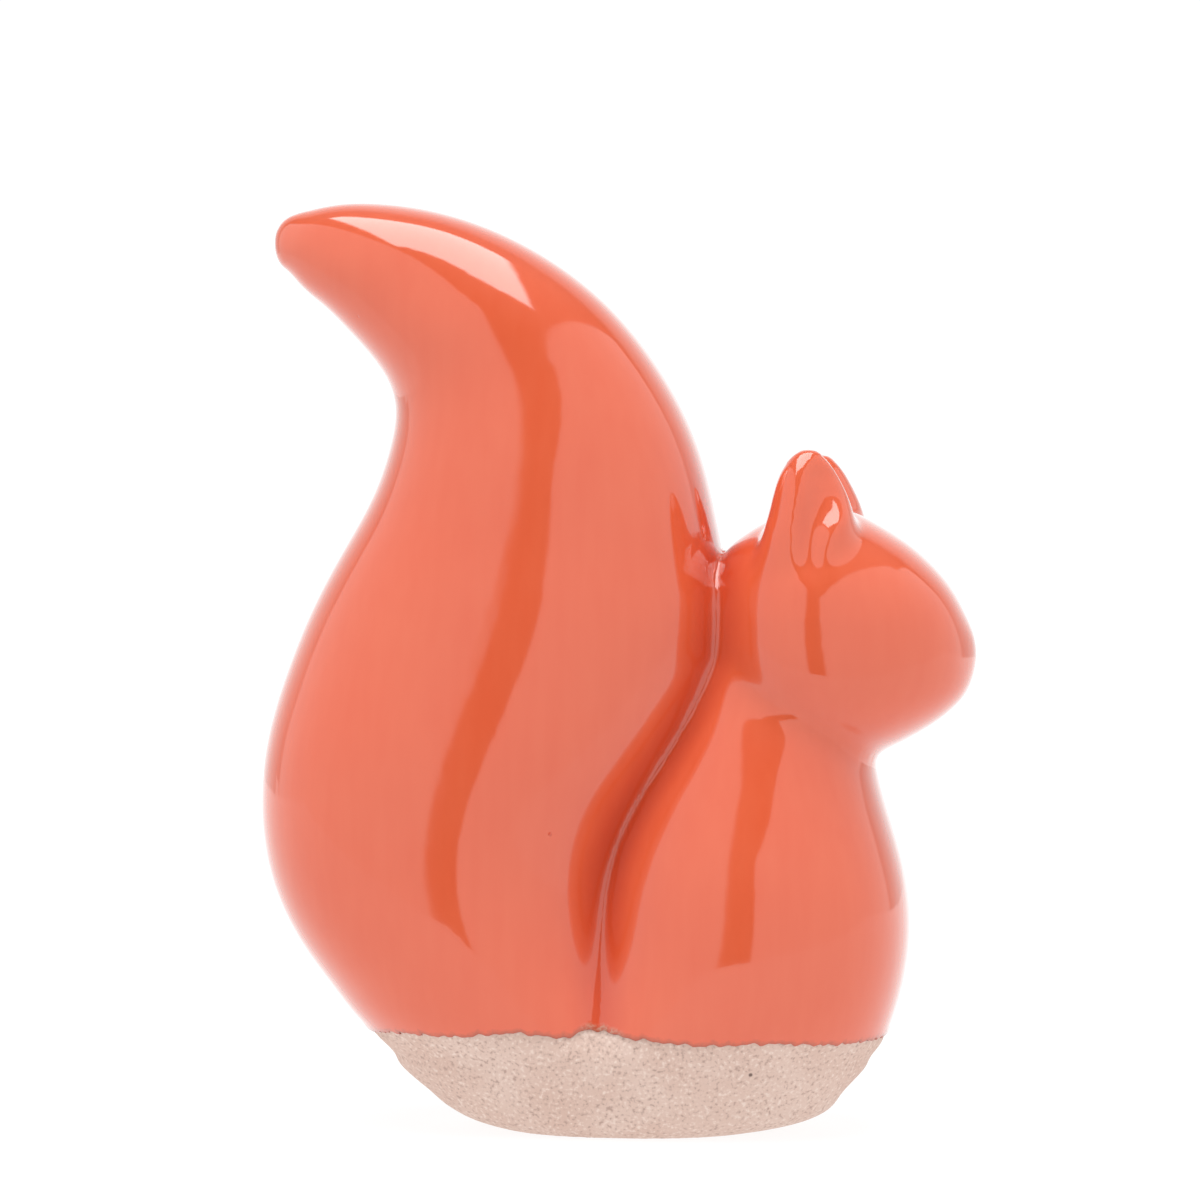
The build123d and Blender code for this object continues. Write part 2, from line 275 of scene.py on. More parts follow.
EAR_SHARES = [
    (0.690, 0.575, 0.840, 0.575, 0.23),
    (0.700, 0.605, 0.842, 0.605, 0.24),
    (0.712, 0.635, 0.844, 0.635, 0.235),
    (0.722, 0.660, 0.838, 0.660, 0.21),
    (0.730, 0.685, 0.825, 0.685, 0.17),
    (0.741, 0.706, 0.810, 0.706, 0.12),
]
EAR_TIP_SHARE = (0.776, 0.7265)
# The ear's cup: height, back edge, front edge and share of the full depth
CUP_SHARES = [
    (0.580, 0.789, 0.796, 0.00),
    (0.590, 0.777, 0.800, 0.10),
    (0.605, 0.767, 0.804, 0.32),
    (0.622, 0.762, 0.808, 0.58),
    (0.642, 0.760, 0.820, 0.82),
    (0.660, 0.760, 0.844, 0.95),
    (0.678, 0.763, 0.856, 1.00),
    (0.698, 0.767, 0.845, 0.75),
    (0.720, 0.776, 0.812, 0.00),
]
# The dipped edge on the near side: place along the figure, rise in millimetres
DIP_PLACE_SHARES = (0.15, 0.22, 0.31, 0.41, 0.46, 0.49, 0.52, 0.57, 0.65, 0.73, 0.81, 0.88)
DIP_RISES = (0.0, 0.9, 0.9, 1.7, 1.4, 2.6, 1.9, 0.9, 0.1, 0.4, -0.2, -0.1)
TAIL_SEAM_SHARES = [
    (0.515, 0.000),
    (0.505, 0.120),
    (0.497, 0.215),
    (0.515, 0.310),
    (0.580, 0.405),
    (0.634, 0.490),
    (0.650, 0.580),
    (0.648, 0.650),
    (0.648, 0.750),
]
NECK_SEAM_SHARES = [
    (0.560, 0.480),
    (0.640, 0.474),
    (0.720, 0.456),
    (0.790, 0.430),
    (0.857, 0.404),
    (0.900, 0.390),
]
VENT_SHARE = 0.59


def side_x(share):
    return (np.asarray(share) - 1 / 2) * LENGTH


def side_z(share):
    return np.asarray(share) * HEIGHT


def natural_spline(knots, values, at):
    """Values of a natural cubic spline through the knots."""
    knots = np.asarray(knots, float)
    values = np.asarray(values, float)
    gaps = np.diff(knots)
    count = len(knots)
    system = np.eye(count)
    right = np.zeros((count,) + values.shape[1:])
    slopes = np.diff(values, axis=0) / gaps.reshape(-1, *[1] * (values.ndim - 1))
    for row in range(1, count - 1):
        system[row, row - 1] = gaps[row - 1]
        system[row, row] = 2 * (gaps[row - 1] + gaps[row])
        system[row, row + 1] = gaps[row]
        right[row] = 6 * (slopes[row] - slopes[row - 1])
    bends = np.linalg.solve(system, right.reshape(count, -1)).reshape(values.shape)
    cell = np.clip(np.searchsorted(knots, at) - 1, 0, count - 2)
    gap = gaps[cell]
    low = (knots[cell + 1] - at) / gap
    high = (at - knots[cell]) / gap
    if values.ndim > 1:
        low, high, gap = low[:, None], high[:, None], gap[:, None]
    curve = (low ** 3 - low) * bends[cell] + (high ** 3 - high) * bends[cell + 1]
    return low * values[cell] + high * values[cell + 1] + curve * gap ** 2 / 6


def smooth_step(low, high, value):
    share = np.clip((value - low) / (high - low), 0, 1)
    return share * share * (3 - 2 * share)


def lobe_mesh(shares, first_tip=None, last_tip=None, spreads=(0.0, 0.0)):
    """Points and faces of a closed lobe through its stations, round where it ends in a tip."""
    table = np.array(shares)
    start = np.stack([side_x(table[:, 0]), side_z(table[:, 1])], axis=1)
    end = np.stack([side_x(table[:, 2]), side_z(table[:, 3])], axis=1)
    middle = (start + end) / 2
    half = (end - start) / 2
    tilt = np.unwrap(np.arctan2(half[:, 1], half[:, 0]))
    # The squares of the half sizes fall evenly to nothing at a tip, which rounds it
    squares = np.stack([(half ** 2).sum(axis=1), (table[:, 4] * DEPTH / 2) ** 2], axis=1)
    rows = np.hstack([middle, tilt[:, None], squares])
    if first_tip:
        rows = np.vstack([[side_x(first_tip[0]), side_z(first_tip[1]), tilt[0], 0, 0], rows])
    if last_tip:
        rows = np.vstack([rows, [side_x(last_tip[0]), side_z(last_tip[1]), tilt[-1], 0, 0]])
    steps = np.linalg.norm(np.diff(rows[:, :2], axis=0), axis=1)
    knots = np.concatenate([[0], np.cumsum(steps)])
    at = np.linspace(0, knots[-1], RINGS_PER_STATION * len(steps) + 1)
    if first_tip:
        at = np.concatenate([TIP_RING_SHARES * at[1], at[1:]])
    if last_tip:
        at = np.concatenate([at[:-1], at[-1] - (TIP_RING_SHARES * (at[-1] - at[-2]))[::-1]])
    rings = natural_spline(knots, rows, at)
    sizes = np.sqrt(np.maximum(rings[:, 3:], TIP_LEAST ** 2))
    spread_at = np.interp(at, [knots[0], knots[-1]], spreads)
    turn = 2 * math.pi * np.arange(RING_POINTS) / RING_POINTS
    across = np.sign(np.cos(turn)) * np.abs(np.cos(turn)) ** (2 / FULLNESS)
    along = np.sign(np.sin(turn)) * np.abs(np.sin(turn)) ** (2 / FULLNESS)
    points = []
    for (centre_x, centre_z, angle, _, _), (wide, deep), spread in zip(rings, sizes, spread_at):
        flat_x = centre_x + math.cos(angle) * wide * across
        flat_z = centre_z + math.sin(angle) * wide * across
        points.append(np.stack([flat_x, deep * along - spread, flat_z], axis=1))
    points = np.concatenate(points)
    faces = []
    for ring in range(len(rings) - 1):
        for index in range(RING_POINTS):
            following = (index + 1) % RING_POINTS
            low = ring * RING_POINTS
            high = low + RING_POINTS
            faces.append((low + index, low + following, high + following, high + index))
    faces.append(tuple(range(RING_POINTS))[::-1])
    last = (len(rings) - 1) * RING_POINTS
    faces.append(tuple(range(last, last + RING_POINTS)))
    return points, faces


def press_cups(points):
    """Presses the cup into the outer face of each ear, deepest just in front of its back rim."""
    table = np.array(CUP_SHARES)
    height = points[:, 2]
    levels = side_z(table[:, 0])
    back = natural_spline(levels, side_x(table[:, 1]), np.clip(height, levels[0], levels[-1]))
    front = np.interp(height, levels, side_x(table[:, 2]))
    depth = np.interp(height, levels, table[:, 3], left=0.0, right=0.0) * CUP_DEPTH
    share = (points[:, 0] - back) / np.maximum(front - back, CUP_EDGE)
    profile = smooth_step(*CUP_BACK_SLOPE, share) * (1 - smooth_step(*CUP_FRONT_SLOPE, share))
    middle = np.interp(height, [levels[0], levels[-1]], [EAR_ROOT_SPREAD, EAR_TIP_SPREAD])
    outer = smooth_step(-CUP_EDGE, CUP_DEPTH, np.abs(points[:, 1]) - middle)
    pressed = points.copy()
    pressed[:, 1] -= np.sign(points[:, 1]) * depth * profile * outer
    near = (share > CUP_MARGIN[0]) & (share < CUP_MARGIN[1])
    return pressed, near & (depth > 0) & (outer > 0)


def new_object(name, points, faces):
    mesh = bpy.data.meshes.new(name)
    corners = [tuple(point) for point in np.asarray(points) * MM]
    mesh.from_pydata(corners, [], [list(map(int, face)) for face in faces])
    mesh.validate()
    made = bpy.data.objects.new(name, mesh)
    bpy.context.scene.collection.objects.link(made)
    return made


def outer_form():
    """The whole outside as one mesh: a union of the lobes on a fine grid."""
    lobes = [
        lobe_mesh(TAIL_SHARES, last_tip=TAIL_TIP_SHARE),
        lobe_mesh(TORSO_SHARES),
        lobe_mesh(HEAD_SHARES, HEAD_BACK_SHARE, NOSE_SHARE),
    ]
    for side in (1, -1):
        spreads = (side * EAR_ROOT_SPREAD, side * EAR_TIP_SPREAD)
        lobes.append(lobe_mesh(EAR_SHARES, last_tip=EAR_TIP_SHARE, spreads=spreads))
    points = np.concatenate([lobe[0] for lobe in lobes])
    faces = []
    offset = 0
    for lobe_points, lobe_faces in lobes:
        faces += [tuple(index + offset for index in face) for face in lobe_faces]
        offset += len(lobe_points)
    made = new_object("form", points, faces)
    bm = bmesh.new()
    bm.from_mesh(made.data)
    bmesh.ops.recalc_face_normals(bm, faces=bm.faces)
    bm.to_mesh(made.data)
    bm.free()
    grid = made.modifiers.new("grid", "REMESH")
    grid.mode = "VOXEL"
    grid.voxel_size = VOXEL * MM
    graph = bpy.context.evaluated_depsgraph_get()
    mesh = bpy.data.meshes.new_from_object(made.evaluated_get(graph))
    bpy.data.objects.remove(made)
    return mesh


def mesh_points(mesh):
    points = np.zeros(len(mesh.vertices) * 3)
    mesh.vertices.foreach_get("co", points)
    return points.reshape(-1, 3) / MM


def relax(points, edges, weights, rounds, inward=RELAX_IN, outward=RELAX_OUT):
    """Evens the surface, more where the weights are higher. The outward step undoes the shrinking."""
    count = len(points)
    first, second = edges[:, 0], edges[:, 1]
    degree = np.bincount(first, minlength=count) + np.bincount(second, minlength=count)
    for _ in range(rounds):
        for step in (inward, outward):
            if step == 0:
                continue
            total = np.stack([
                np.bincount(first, points[second, axis], count)
                + np.bincount(second, points[first, axis], count)
                for axis in range(3)
            ], axis=1)
            points = points + step * weights[:, None] * (total / degree[:, None] - points)
    return points


def mesh_edges(mesh):
    edges = np.zeros(len(mesh.edges) * 2, int)
    mesh.edges.foreach_get("vertices", edges)
    return edges.reshape(-1, 2)


def tail_seam_x(height):
    table = np.array(TAIL_SEAM_SHARES)
    at = np.clip(height, 0, side_z(table[-1, 1]))
    return natural_spline(side_z(table[:, 1]), side_x(table[:, 0]), at)


def neck_seam_z(along):
    table = np.array(NECK_SEAM_SHARES)
    low, high = side_x(table[0, 0]), side_x(table[-1, 0])
    return natural_spline(side_x(table[:, 0]), side_z(table[:, 1]), np.clip(along, low, high))


def waves(table, turn):
    """The sum of some sine waves round the figure."""
    return sum(share * np.sin(rounds * turn + phase) for rounds, phase, share in table)


def dip_field(points):
    """Height in millimetres above the dipped edge, which wanders a little round the figure."""
    places = np.clip(points[:, 0], side_x(DIP_PLACE_SHARES[0]), side_x(DIP_PLACE_SHARES[-1]))
    near = natural_spline(side_x(DIP_PLACE_SHARES), np.array(DIP_RISES), places)
    turn = np.arctan2(points[:, 1] / DEPTH, points[:, 0] / LENGTH)
    far = DIP_FAR_RISE + DIP_WAVE * waves(DIP_FAR_WAVES, turn)
    nearness = 1 - smooth_step(*DIP_NEAR_SHARES, points[:, 1] / DEPTH)
    sides = smooth_step(*DIP_SIDE_SHARES, np.abs(points[:, 1]) / DEPTH)
    grain = DIP_GRAIN * waves(DIP_GRAIN_WAVES, turn)
    return points[:, 2] - DIP_HEIGHT - sides * (nearness * near + (1 - nearness) * far) - grain


def head_field(points):
    """How far outside the head a point of the ears lies, in shares of the head's size."""
    table = np.array(HEAD_SHARES)
    along = side_x((table[:, 0] + table[:, 2]) / 2)
    middle = np.interp(points[:, 0], along, side_z((table[:, 1] + table[:, 3]) / 2))
    tall = np.interp(points[:, 0], along, side_z((table[:, 3] - table[:, 1]) / 2))
    deep = np.interp(points[:, 0], along, table[:, 4] * DEPTH / 2)
    gauge = (np.abs(points[:, 2] - middle) / tall) ** FULLNESS
    gauge = gauge + (np.abs(points[:, 1]) / deep) ** FULLNESS
    field = gauge ** (1 / FULLNESS) - 1 - EAR_ROOT_SHARE
    zone = (points[:, 0] > side_x(EAR_ZONE_SHARES[0])) & (points[:, 0] < side_x(EAR_ZONE_SHARES[1]))
    zone &= points[:, 2] > side_z(EAR_ZONE_LOW_SHARE)
    return np.where(zone, field, -1.0)


def vent_field(points):
    reach = np.hypot(points[:, 0] - side_x(VENT_SHARE), points[:, 1]) - VENT_RADIUS
    return np.where(points[:, 2] < FOOT_REACH, reach, VENT_RADIUS)


def recess_field(points):
    """Negative inside the shallow recess of the foot, in millimetres from its rim."""
    low_x, _, high_x, _, depth_share = FOOT_SHARES[0]
    middle = side_x((low_x + high_x) / 2)
    half_width = (high_x - low_x) * LENGTH / 2 - FOOT_RING
    half_depth = depth_share * DEPTH / 2 - FOOT_RING
    gauge = (np.abs(points[:, 0] - middle) / half_width) ** FULLNESS
    gauge = gauge + (np.abs(points[:, 1]) / half_depth) ** FULLNESS
    field = (gauge ** (1 / FULLNESS) - 1) * half_depth
    return np.where(points[:, 2] < FOOT_REACH, field, half_depth)


def smooth_form():
    """The fine mesh with its creases softened, and its points in millimetres."""
    mesh = outer_form()
    points = mesh_points(mesh)
    edges = mesh_edges(mesh)
    neck = np.exp(-(((points[:, 2] - neck_seam_z(points[:, 0])) / NECK_BLEND) ** 2))
    neck *= smooth_step(*NECK_CLEAR, points[:, 0] - tail_seam_x(points[:, 2]))
    even = np.where(points[:, 2] < FLAT_FOOT_VOXELS * VOXEL, 0.0, 1.0)
    points = relax(points, edges, even, EVEN_ROUNDS)
    points = relax(points, edges, even * neck, NECK_ROUNDS, outward=0)
    groove = np.exp(-(((points[:, 0] - tail_seam_x(points[:, 2])) / GROOVE_BLEND) ** 2))
    groove *= 1 - smooth_step(*side_z(GROOVE_TOP_SHARES), points[:, 2])
    points = relax(points, edges, even * groove, GROOVE_ROUNDS, outward=0)
    root = np.exp(-((head_field(points) / ROOT_BLEND_SHARE) ** 2))
    points = relax(points, edges, even * root, ROOT_ROUNDS, outward=0)
    points = relax(points, edges, even * (head_field(points) > 0), EAR_ROUNDS)
    points, cupped = press_cups(points)
    points = relax(points, edges, even, EVEN_ROUNDS // 3)
    points = relax(points, edges, even * cupped, CUP_ROUNDS, outward=0)
    return mesh, points


def cut_form():
    """Cuts clean borders along the seams, the dip line, the ear roots and the foot."""
    mesh, points = smooth_form()
    bm = bmesh.new()
    bm.from_mesh(mesh)
    layer = bm.verts.layers.float_vector.new("place")
    for vert, place in zip(bm.verts, points):
        vert[layer] = place
        vert.co = place

    def slice_where(field, level=0.0):
        places = np.array([vert[layer] for vert in bm.verts])
        for vert, value, place in zip(bm.verts, field(places) - level, places):
            vert.co = (value, place[1], place[2])
        geometry = bm.verts[:] + bm.edges[:] + bm.faces[:]
        bmesh.ops.bisect_plane(bm, geom=geometry, dist=CUT_TOLERANCE,
                               plane_co=(0, 0, 0), plane_no=(1, 0, 0))
        for vert in bm.verts:
            vert.co = vert[layer]

    slice_where(lambda at: at[:, 0] - tail_seam_x(at[:, 2]))
    slice_where(lambda at: np.where(at[:, 0] > tail_seam_x(at[:, 2]),
                                    at[:, 2] - neck_seam_z(at[:, 0]), -1.0))
    slice_where(head_field)
    for level in DIP_LEVELS:
        slice_where(dip_field, level)
    slice_where(recess_field)
    slice_where(recess_field, -RECESS_SLOPE)
    slice_where(vent_field)
    bmesh.ops.triangulate(bm, faces=[face for face in bm.faces if len(face.verts) > 4])
    bm.normal_update()
    bm.verts.ensure_lookup_table()
    places = np.array([vert.co for vert in bm.verts])
    normals = np.array([vert.normal for vert in bm.verts])
    faces = [[vert.index for vert in face.verts] for face in bm.faces]
    bm.free()
    bpy.data.meshes.remove(mesh)
    return places, normals, faces


def regions(places, faces):
    """For each face the name of its form, whether it is glazed and whether the vent removes it."""
    centres = np.array([places[face].mean(axis=0) for face in faces])
    left = centres[:, 0] < tail_seam_x(centres[:, 2])
    high = centres[:, 2] > neck_seam_z(centres[:, 0])
    ear = head_field(centres) > 0
    region = np.where(left, "tail", np.where(high, "head", "torso"))
    region = np.where(~left & ear & (centres[:, 1] < 0), "right_ear", region)
    region = np.where(~left & ear & (centres[:, 1] > 0), "left_ear", region)
    return region, dip_field(centres) > 0, vent_field(centres) < 0


def shell_object(name, outer, inner, normals, faces, attributes, closed=False):
    """A shell between an outer and an inner surface, or a filled form if closed, smooth outside."""
    used = sorted({index for face in faces for index in face})
    place_of = {index: number for number, index in enumerate(used)}
    count = len(used)
    outside = [[place_of[index] for index in face] for face in faces]
    sides = {}
    for face in outside:
        for first, second in zip(face, face[1:] + face[:1]):
            sides[(first, second)] = face
    border = [side for side in sides if (side[1], side[0]) not in sides]
    made_faces = list(outside)
    points = np.array(outer)[used]
    loop_normals = [tuple(normals[used[index]]) for face in outside for index in face]
    if closed:
        middle = points[[side[0] for side in border]].mean(axis=0)
        points = np.vstack([points, middle])
        rim = [[second, first, count] for first, second in border]
    else:
        points = np.vstack([points, np.array(inner)[used]])
        back = [[index + count for index in face[::-1]] for face in outside]
        made_faces += back
        loop_normals += [tuple(-normals[used[index - count]]) for face in back for index in face]
        rim = [[second, first, first + count, second + count] for first, second in border]
    made_faces += rim
    for face in rim:
        corner = points[face[0]], points[face[1]], points[face[2]]
        flat = np.cross(corner[1] - corner[0], corner[2] - corner[0])
        size = np.linalg.norm(flat) or 1.0
        loop_normals += [tuple(flat / size)] * len(face)
    made = new_object(name, points, made_faces)
    mesh = made.data
    for label, values in attributes.items():
        data = np.array(values)[used]
        extra = len(points) - count
        tail = data if extra == count else np.full(extra, data.mean())
        store = mesh.attributes.new(label, "FLOAT", "POINT")
        store.data.foreach_set("value", np.concatenate([data, tail]).astype(np.float32))
    mesh.polygons.foreach_set("use_smooth", [True] * len(mesh.polygons))
    if len(loop_normals) == len(mesh.loops):
        mesh.normals_split_custom_set(loop_normals)
    return made


def build_pieces():
    """All coats and castings, each standing for its node of the frame."""
    places, normals, faces = cut_form()
    region, glazed, vent = regions(places, faces)
    above = dip_field(places)
    crease = np.abs(places[:, 0] - tail_seam_x(places[:, 2]))
    recess = recess_field(places)
    lift = FOOT_RECESS * (1 - smooth_step(-RECESS_SLOPE, 0.0, recess))
    clay_share = smooth_step(0.0, CLAY_EASE, places[:, 2])
    shares = np.stack([np.ones_like(lift), np.ones_like(lift), clay_share], axis=1)
    clay_offset = normals * CLAY_INSET * shares
    clay = places - clay_offset
    clay[:, 2] += lift
    # The dipped edge is a quarter round with a slight bead above it
    round_share = 1 - np.clip(above / EDGE_ROUND, 0, 1)
    sunk = (GLAZE - EDGE_LEAST) * (1 - np.sqrt(1 - round_share ** 2))
    bead = EDGE_BEAD * np.exp(-(((above - EDGE_ROUND) / EDGE_ROUND) ** 2))
    coat = places - normals * (sunk - bead)[:, None]
    under = places - normals * GLAZE
    tip = np.array([side_x(TAIL_TIP_SHARE[0]), 0.0, side_z(TAIL_TIP_SHARE[1])])
    wall = np.minimum(WALL, TIP_WALL_SHARE * np.linalg.norm(places - tip, axis=1))
    inside = clay - normals * np.maximum(wall, GLAZE)[:, None]
    attributes = {"above_dip": above, "from_crease": crease}
    made = {}
    for name in ("tail", "torso", "head", "right_ear", "left_ear"):
        here = [face for face, label, open_ in zip(faces, region, vent) if label == name and not open_]
        coated = [face for face, label, wet in zip(faces, region, glazed) if label == name and wet]
        ear = name.endswith("ear")
        casting_node = name if ear else name + "_casting"
        casting = shell_object(casting_node + "_clay", clay, inside, normals, here, attributes,
                               closed=ear)
        glaze = shell_object(name + "_coat", coat, under, normals, coated, attributes)
        made[casting_node] = casting
        made[name + "_glaze"] = glaze
    return made


def node_maker(material):
    material.use_nodes = True
    tree = material.node_tree
    tree.nodes.clear()

    def add(kind, **settings):
        node = tree.nodes.new(kind)
        for key, value in settings.items():
            setattr(node, key, value)
        return node

    return tree, add


def mix_colours(tree, add, factor, first, second):
    """A mix of two colours, in sockets 6 and 7; each may be a colour or another node's output."""
    node = add("ShaderNodeMix", data_type="RGBA")
    for socket, value in ((node.inputs[0], factor), (node.inputs[6], first), (node.inputs[7], second)):
        if isinstance(value, bpy.types.NodeSocket):
            tree.links.new(value, socket)
        else:
            socket.default_value = value
    return node.outputs[2]


def ramp(tree, add, source, low, high, low_value=0.0, high_value=1.0):
    node = add("ShaderNodeMapRange")
    tree.links.new(source, node.inputs["Value"])
    node.inputs["From Min"].default_value = low
    node.inputs["From Max"].default_value = high
    node.inputs["To Min"].default_value = low_value
    node.inputs["To Max"].default_value = high_value
    return node.outputs["Result"]


def noise(tree, add, position, scale, detail=GRAIN_DETAIL):
    node = add("ShaderNodeTexNoise")
    node.inputs["Scale"].default_value = scale
    node.inputs["Detail"].default_value = detail
    tree.links.new(position, node.inputs["Vector"])
    return node.outputs["Fac"]


def spots(tree, add, position, scale, share, low, high):
    """Small round spots, in only some of the cells of a Voronoi pattern."""
    node = add("ShaderNodeTexVoronoi")
    node.inputs["Scale"].default_value = scale
    tree.links.new(position, node.inputs["Vector"])
    split = add("ShaderNodeSeparateColor")
    tree.links.new(node.outputs["Color"], split.inputs[0])
    chosen = calculate(tree, "LESS_THAN", split.outputs[0], share)
    spot = ramp(tree, add, node.outputs["Distance"], low, high, 1.0, 0.0)
    return calculate(tree, "MULTIPLY", chosen, spot)


def glaze_material():
    """Coral glaze: darkened towards the groove as painted shade, thin and brown at its dipped edge."""
    material = bpy.data.materials.new("coral_glaze")
    tree, add = node_maker(material)
    position = add("ShaderNodeTexCoord").outputs["Object"]
    above = add("ShaderNodeAttribute", attribute_name="above_dip").outputs["Fac"]
    crease = add("ShaderNodeAttribute", attribute_name="from_crease").outputs["Fac"]
    grain = noise(tree, add, position, GRAIN_SCALE)
    stretch = add("ShaderNodeMapping")
    stretch.inputs["Scale"].default_value = STREAK_STRETCH
    tree.links.new(position, stretch.inputs["Vector"])
    streak = noise(tree, add, stretch.outputs["Vector"], STREAK_SCALE)
    cloud = calculate(tree, "MULTIPLY", noise(tree, add, position, CLOUD_SCALE, CLOUD_DETAIL), CLOUD_SHARE)
    cloud = calculate(tree, "ADD", cloud, calculate(tree, "MULTIPLY", streak, STREAK_SHARE))
    colour = mix_colours(tree, add, ramp(tree, add, cloud, *EVEN_RANGE), GLAZE_COLOUR, GLAZE_LIGHT_COLOUR)
    # Painted shade: the glaze colour darkens towards the groove's crease, for the shade that falls there
    painted_groove_shade = ramp(tree, add, crease, *GROOVE_SHADE_RANGE, *GROOVE_SHADE_MIX)
    colour = mix_colours(tree, add, painted_groove_shade, colour, GLAZE_SHADE_AND_PIN_COLOUR)
    rolled = calculate(tree, "ADD", above, calculate(tree, "MULTIPLY", grain, ROLL_GRAIN))
    edge = ramp(tree, add, rolled, *ROLL_RANGE, *ROLL_MIX)
    colour = mix_colours(tree, add, edge, colour, GLAZE_EDGE_COLOUR)
    # The glaze runs thin where the groove meets the dipped edge, and the clay shows through
    thin = calculate(tree, "MULTIPLY", ramp(tree, add, crease, *THIN_CREASE_RANGE, 1.0, 0.0),
                     ramp(tree, add, above, *THIN_ABOVE_RANGE, 1.0, 0.0))
    bare = calculate(tree, "MULTIPLY", thin, ramp(tree, add, grain, *THIN_GRAIN_RANGE))
    colour = mix_colours(tree, add, calculate(tree, "MULTIPLY", bare, THIN_MIX), colour, GLAZE_THIN_COLOUR)
    pins = spots(tree, add, position, PIN_SCALE, PIN_SHARE, *PIN_RANGE)
    colour = mix_colours(tree, add, calculate(tree, "MULTIPLY", pins, PIN_MIX), colour, GLAZE_SHADE_AND_PIN_COLOUR)
    shader = add("ShaderNodeBsdfPrincipled")
    tree.links.new(colour, shader.inputs["Base Color"])
    shader.inputs["Roughness"].default_value = GLAZE_ROUGHNESS
    shader.inputs["IOR"].default_value = GLAZE_IOR
    shader.inputs["Coat Weight"].default_value = COAT_WEIGHT
    shader.inputs["Coat IOR"].default_value = GLAZE_IOR
    shader.inputs["Coat Roughness"].default_value = COAT_ROUGHNESS
    rippled = calculate(tree, "MULTIPLY", noise(tree, add, position, RIPPLE_SCALE), RIPPLE)
    uneven = calculate(tree, "ADD", rippled, calculate(tree, "MULTIPLY", pins, -PIN_DEPTH))
    sandy = calculate(tree, "MULTIPLY", calculate(tree, "MULTIPLY", grain, thin), GRAIN_HEIGHT)
    uneven = calculate(tree, "ADD", uneven, sandy)
    ripple = add("ShaderNodeBump")
    ripple.inputs["Strength"].default_value = 1.0
    ripple.inputs["Distance"].default_value = 1.0
    tree.links.new(uneven, ripple.inputs["Height"])
    for socket in ("Normal", "Coat Normal"):
        tree.links.new(ripple.outputs["Normal"], shader.inputs[socket])
    output = add("ShaderNodeOutputMaterial")
    tree.links.new(shader.outputs["BSDF"], output.inputs["Surface"])
    return material


def clay_material(name):
    """Bare fired clay: pale, matt and sandy, with a few dark specks."""
    material = bpy.data.materials.new(name)
    tree, add = node_maker(material)
    position = add("ShaderNodeTexCoord").outputs["Object"]
    grain = noise(tree, add, position, GRAIN_SCALE)
    patch = noise(tree, add, position, PATCH_SCALE, CLOUD_DETAIL)
    crease = add("ShaderNodeAttribute", attribute_name="from_crease").outputs["Fac"]
    above = add("ShaderNodeAttribute", attribute_name="above_dip").outputs["Fac"]
    light = ramp(tree, add, patch, *EVEN_RANGE, *PATCH_MIX)
    base = mix_colours(tree, add, light, CLAY_COLOUR, CLAY_LIGHT_COLOUR)
    light = ramp(tree, add, grain, *LIGHT_GRAIN_RANGE, *LIGHT_GRAIN_MIX)
    base = mix_colours(tree, add, light, base, CLAY_LIGHT_COLOUR)
    dark = ramp(tree, add, grain, *DARK_GRAIN_RANGE, *DARK_GRAIN_MIX)
    base = mix_colours(tree, add, dark, base, CLAY_DARK_GRAIN_AND_SHADE_COLOUR)
    # Painted shade: the bare clay is darkened to a faint grey under the end of the groove
    clay_shade_below_dip = calculate(tree, "MULTIPLY", ramp(tree, add, above, *CLAY_SHADE_ABOVE_RANGE),
                      ramp(tree, add, grain, *CLAY_SHADE_GRAIN_RANGE))
    painted_clay_groove_shade = calculate(tree, "MULTIPLY", ramp(tree, add, crease, *CLAY_SHADE_CREASE_RANGE, *CLAY_SHADE_MIX), clay_shade_below_dip)
    base = mix_colours(tree, add, painted_clay_groove_shade, base, CLAY_DARK_GRAIN_AND_SHADE_COLOUR)
    specks = spots(tree, add, position, SPECK_SCALE, SPECK_SHARE, *SPECK_RANGE)
    base = mix_colours(tree, add, calculate(tree, "MULTIPLY", specks, SPECK_MIX), base, SPECK_COLOUR)
    shader = add("ShaderNodeBsdfPrincipled")
    tree.links.new(base, shader.inputs["Base Color"])
    shader.inputs["Roughness"].default_value = CLAY_ROUGHNESS
    bump = add("ShaderNodeBump")
    bump.inputs["Strength"].default_value = 1.0
    bump.inputs["Distance"].default_value = GRAIN_HEIGHT
    tree.links.new(grain, bump.inputs["Height"])
    tree.links.new(bump.outputs["Normal"], shader.inputs["Normal"])
    output = add("ShaderNodeOutputMaterial")
    tree.links.new(shader.outputs["BSDF"], output.inputs["Surface"])
    return material


def direction(azimuth, elevation):
    turn, lift = math.radians(azimuth), math.radians(elevation)
    return Vector((math.sin(turn) * math.cos(lift), -math.cos(turn) * math.cos(lift), math.sin(lift)))


def calculate(tree, operation, first, second=None):
    """A math node's output; each input may be a number or another node's output."""
    node = tree.nodes.new("ShaderNodeMath")
    node.operation = operation
    for socket, value in zip(node.inputs, (first, second)):
        if isinstance(value, bpy.types.NodeSocket):
            tree.links.new(value, socket)
        elif value is not None:
            socket.default_value = value
    return node.outputs[0]


def soft_step(tree, value, low, high):
    """Rises smoothly from 0 at low to 1 at high, or falls where high is below low."""
    node = tree.nodes.new("ShaderNodeMapRange")
    node.interpolation_type = "SMOOTHSTEP"
    falling = high < low
    tree.links.new(value, node.inputs["Value"])
    node.inputs["From Min"].default_value = min(low, high)
    node.inputs["From Max"].default_value = max(low, high)
    node.inputs["To Min"].default_value = 1.0 if falling else 0.0
    node.inputs["To Max"].default_value = 0.0 if falling else 1.0
    return node.outputs["Result"]


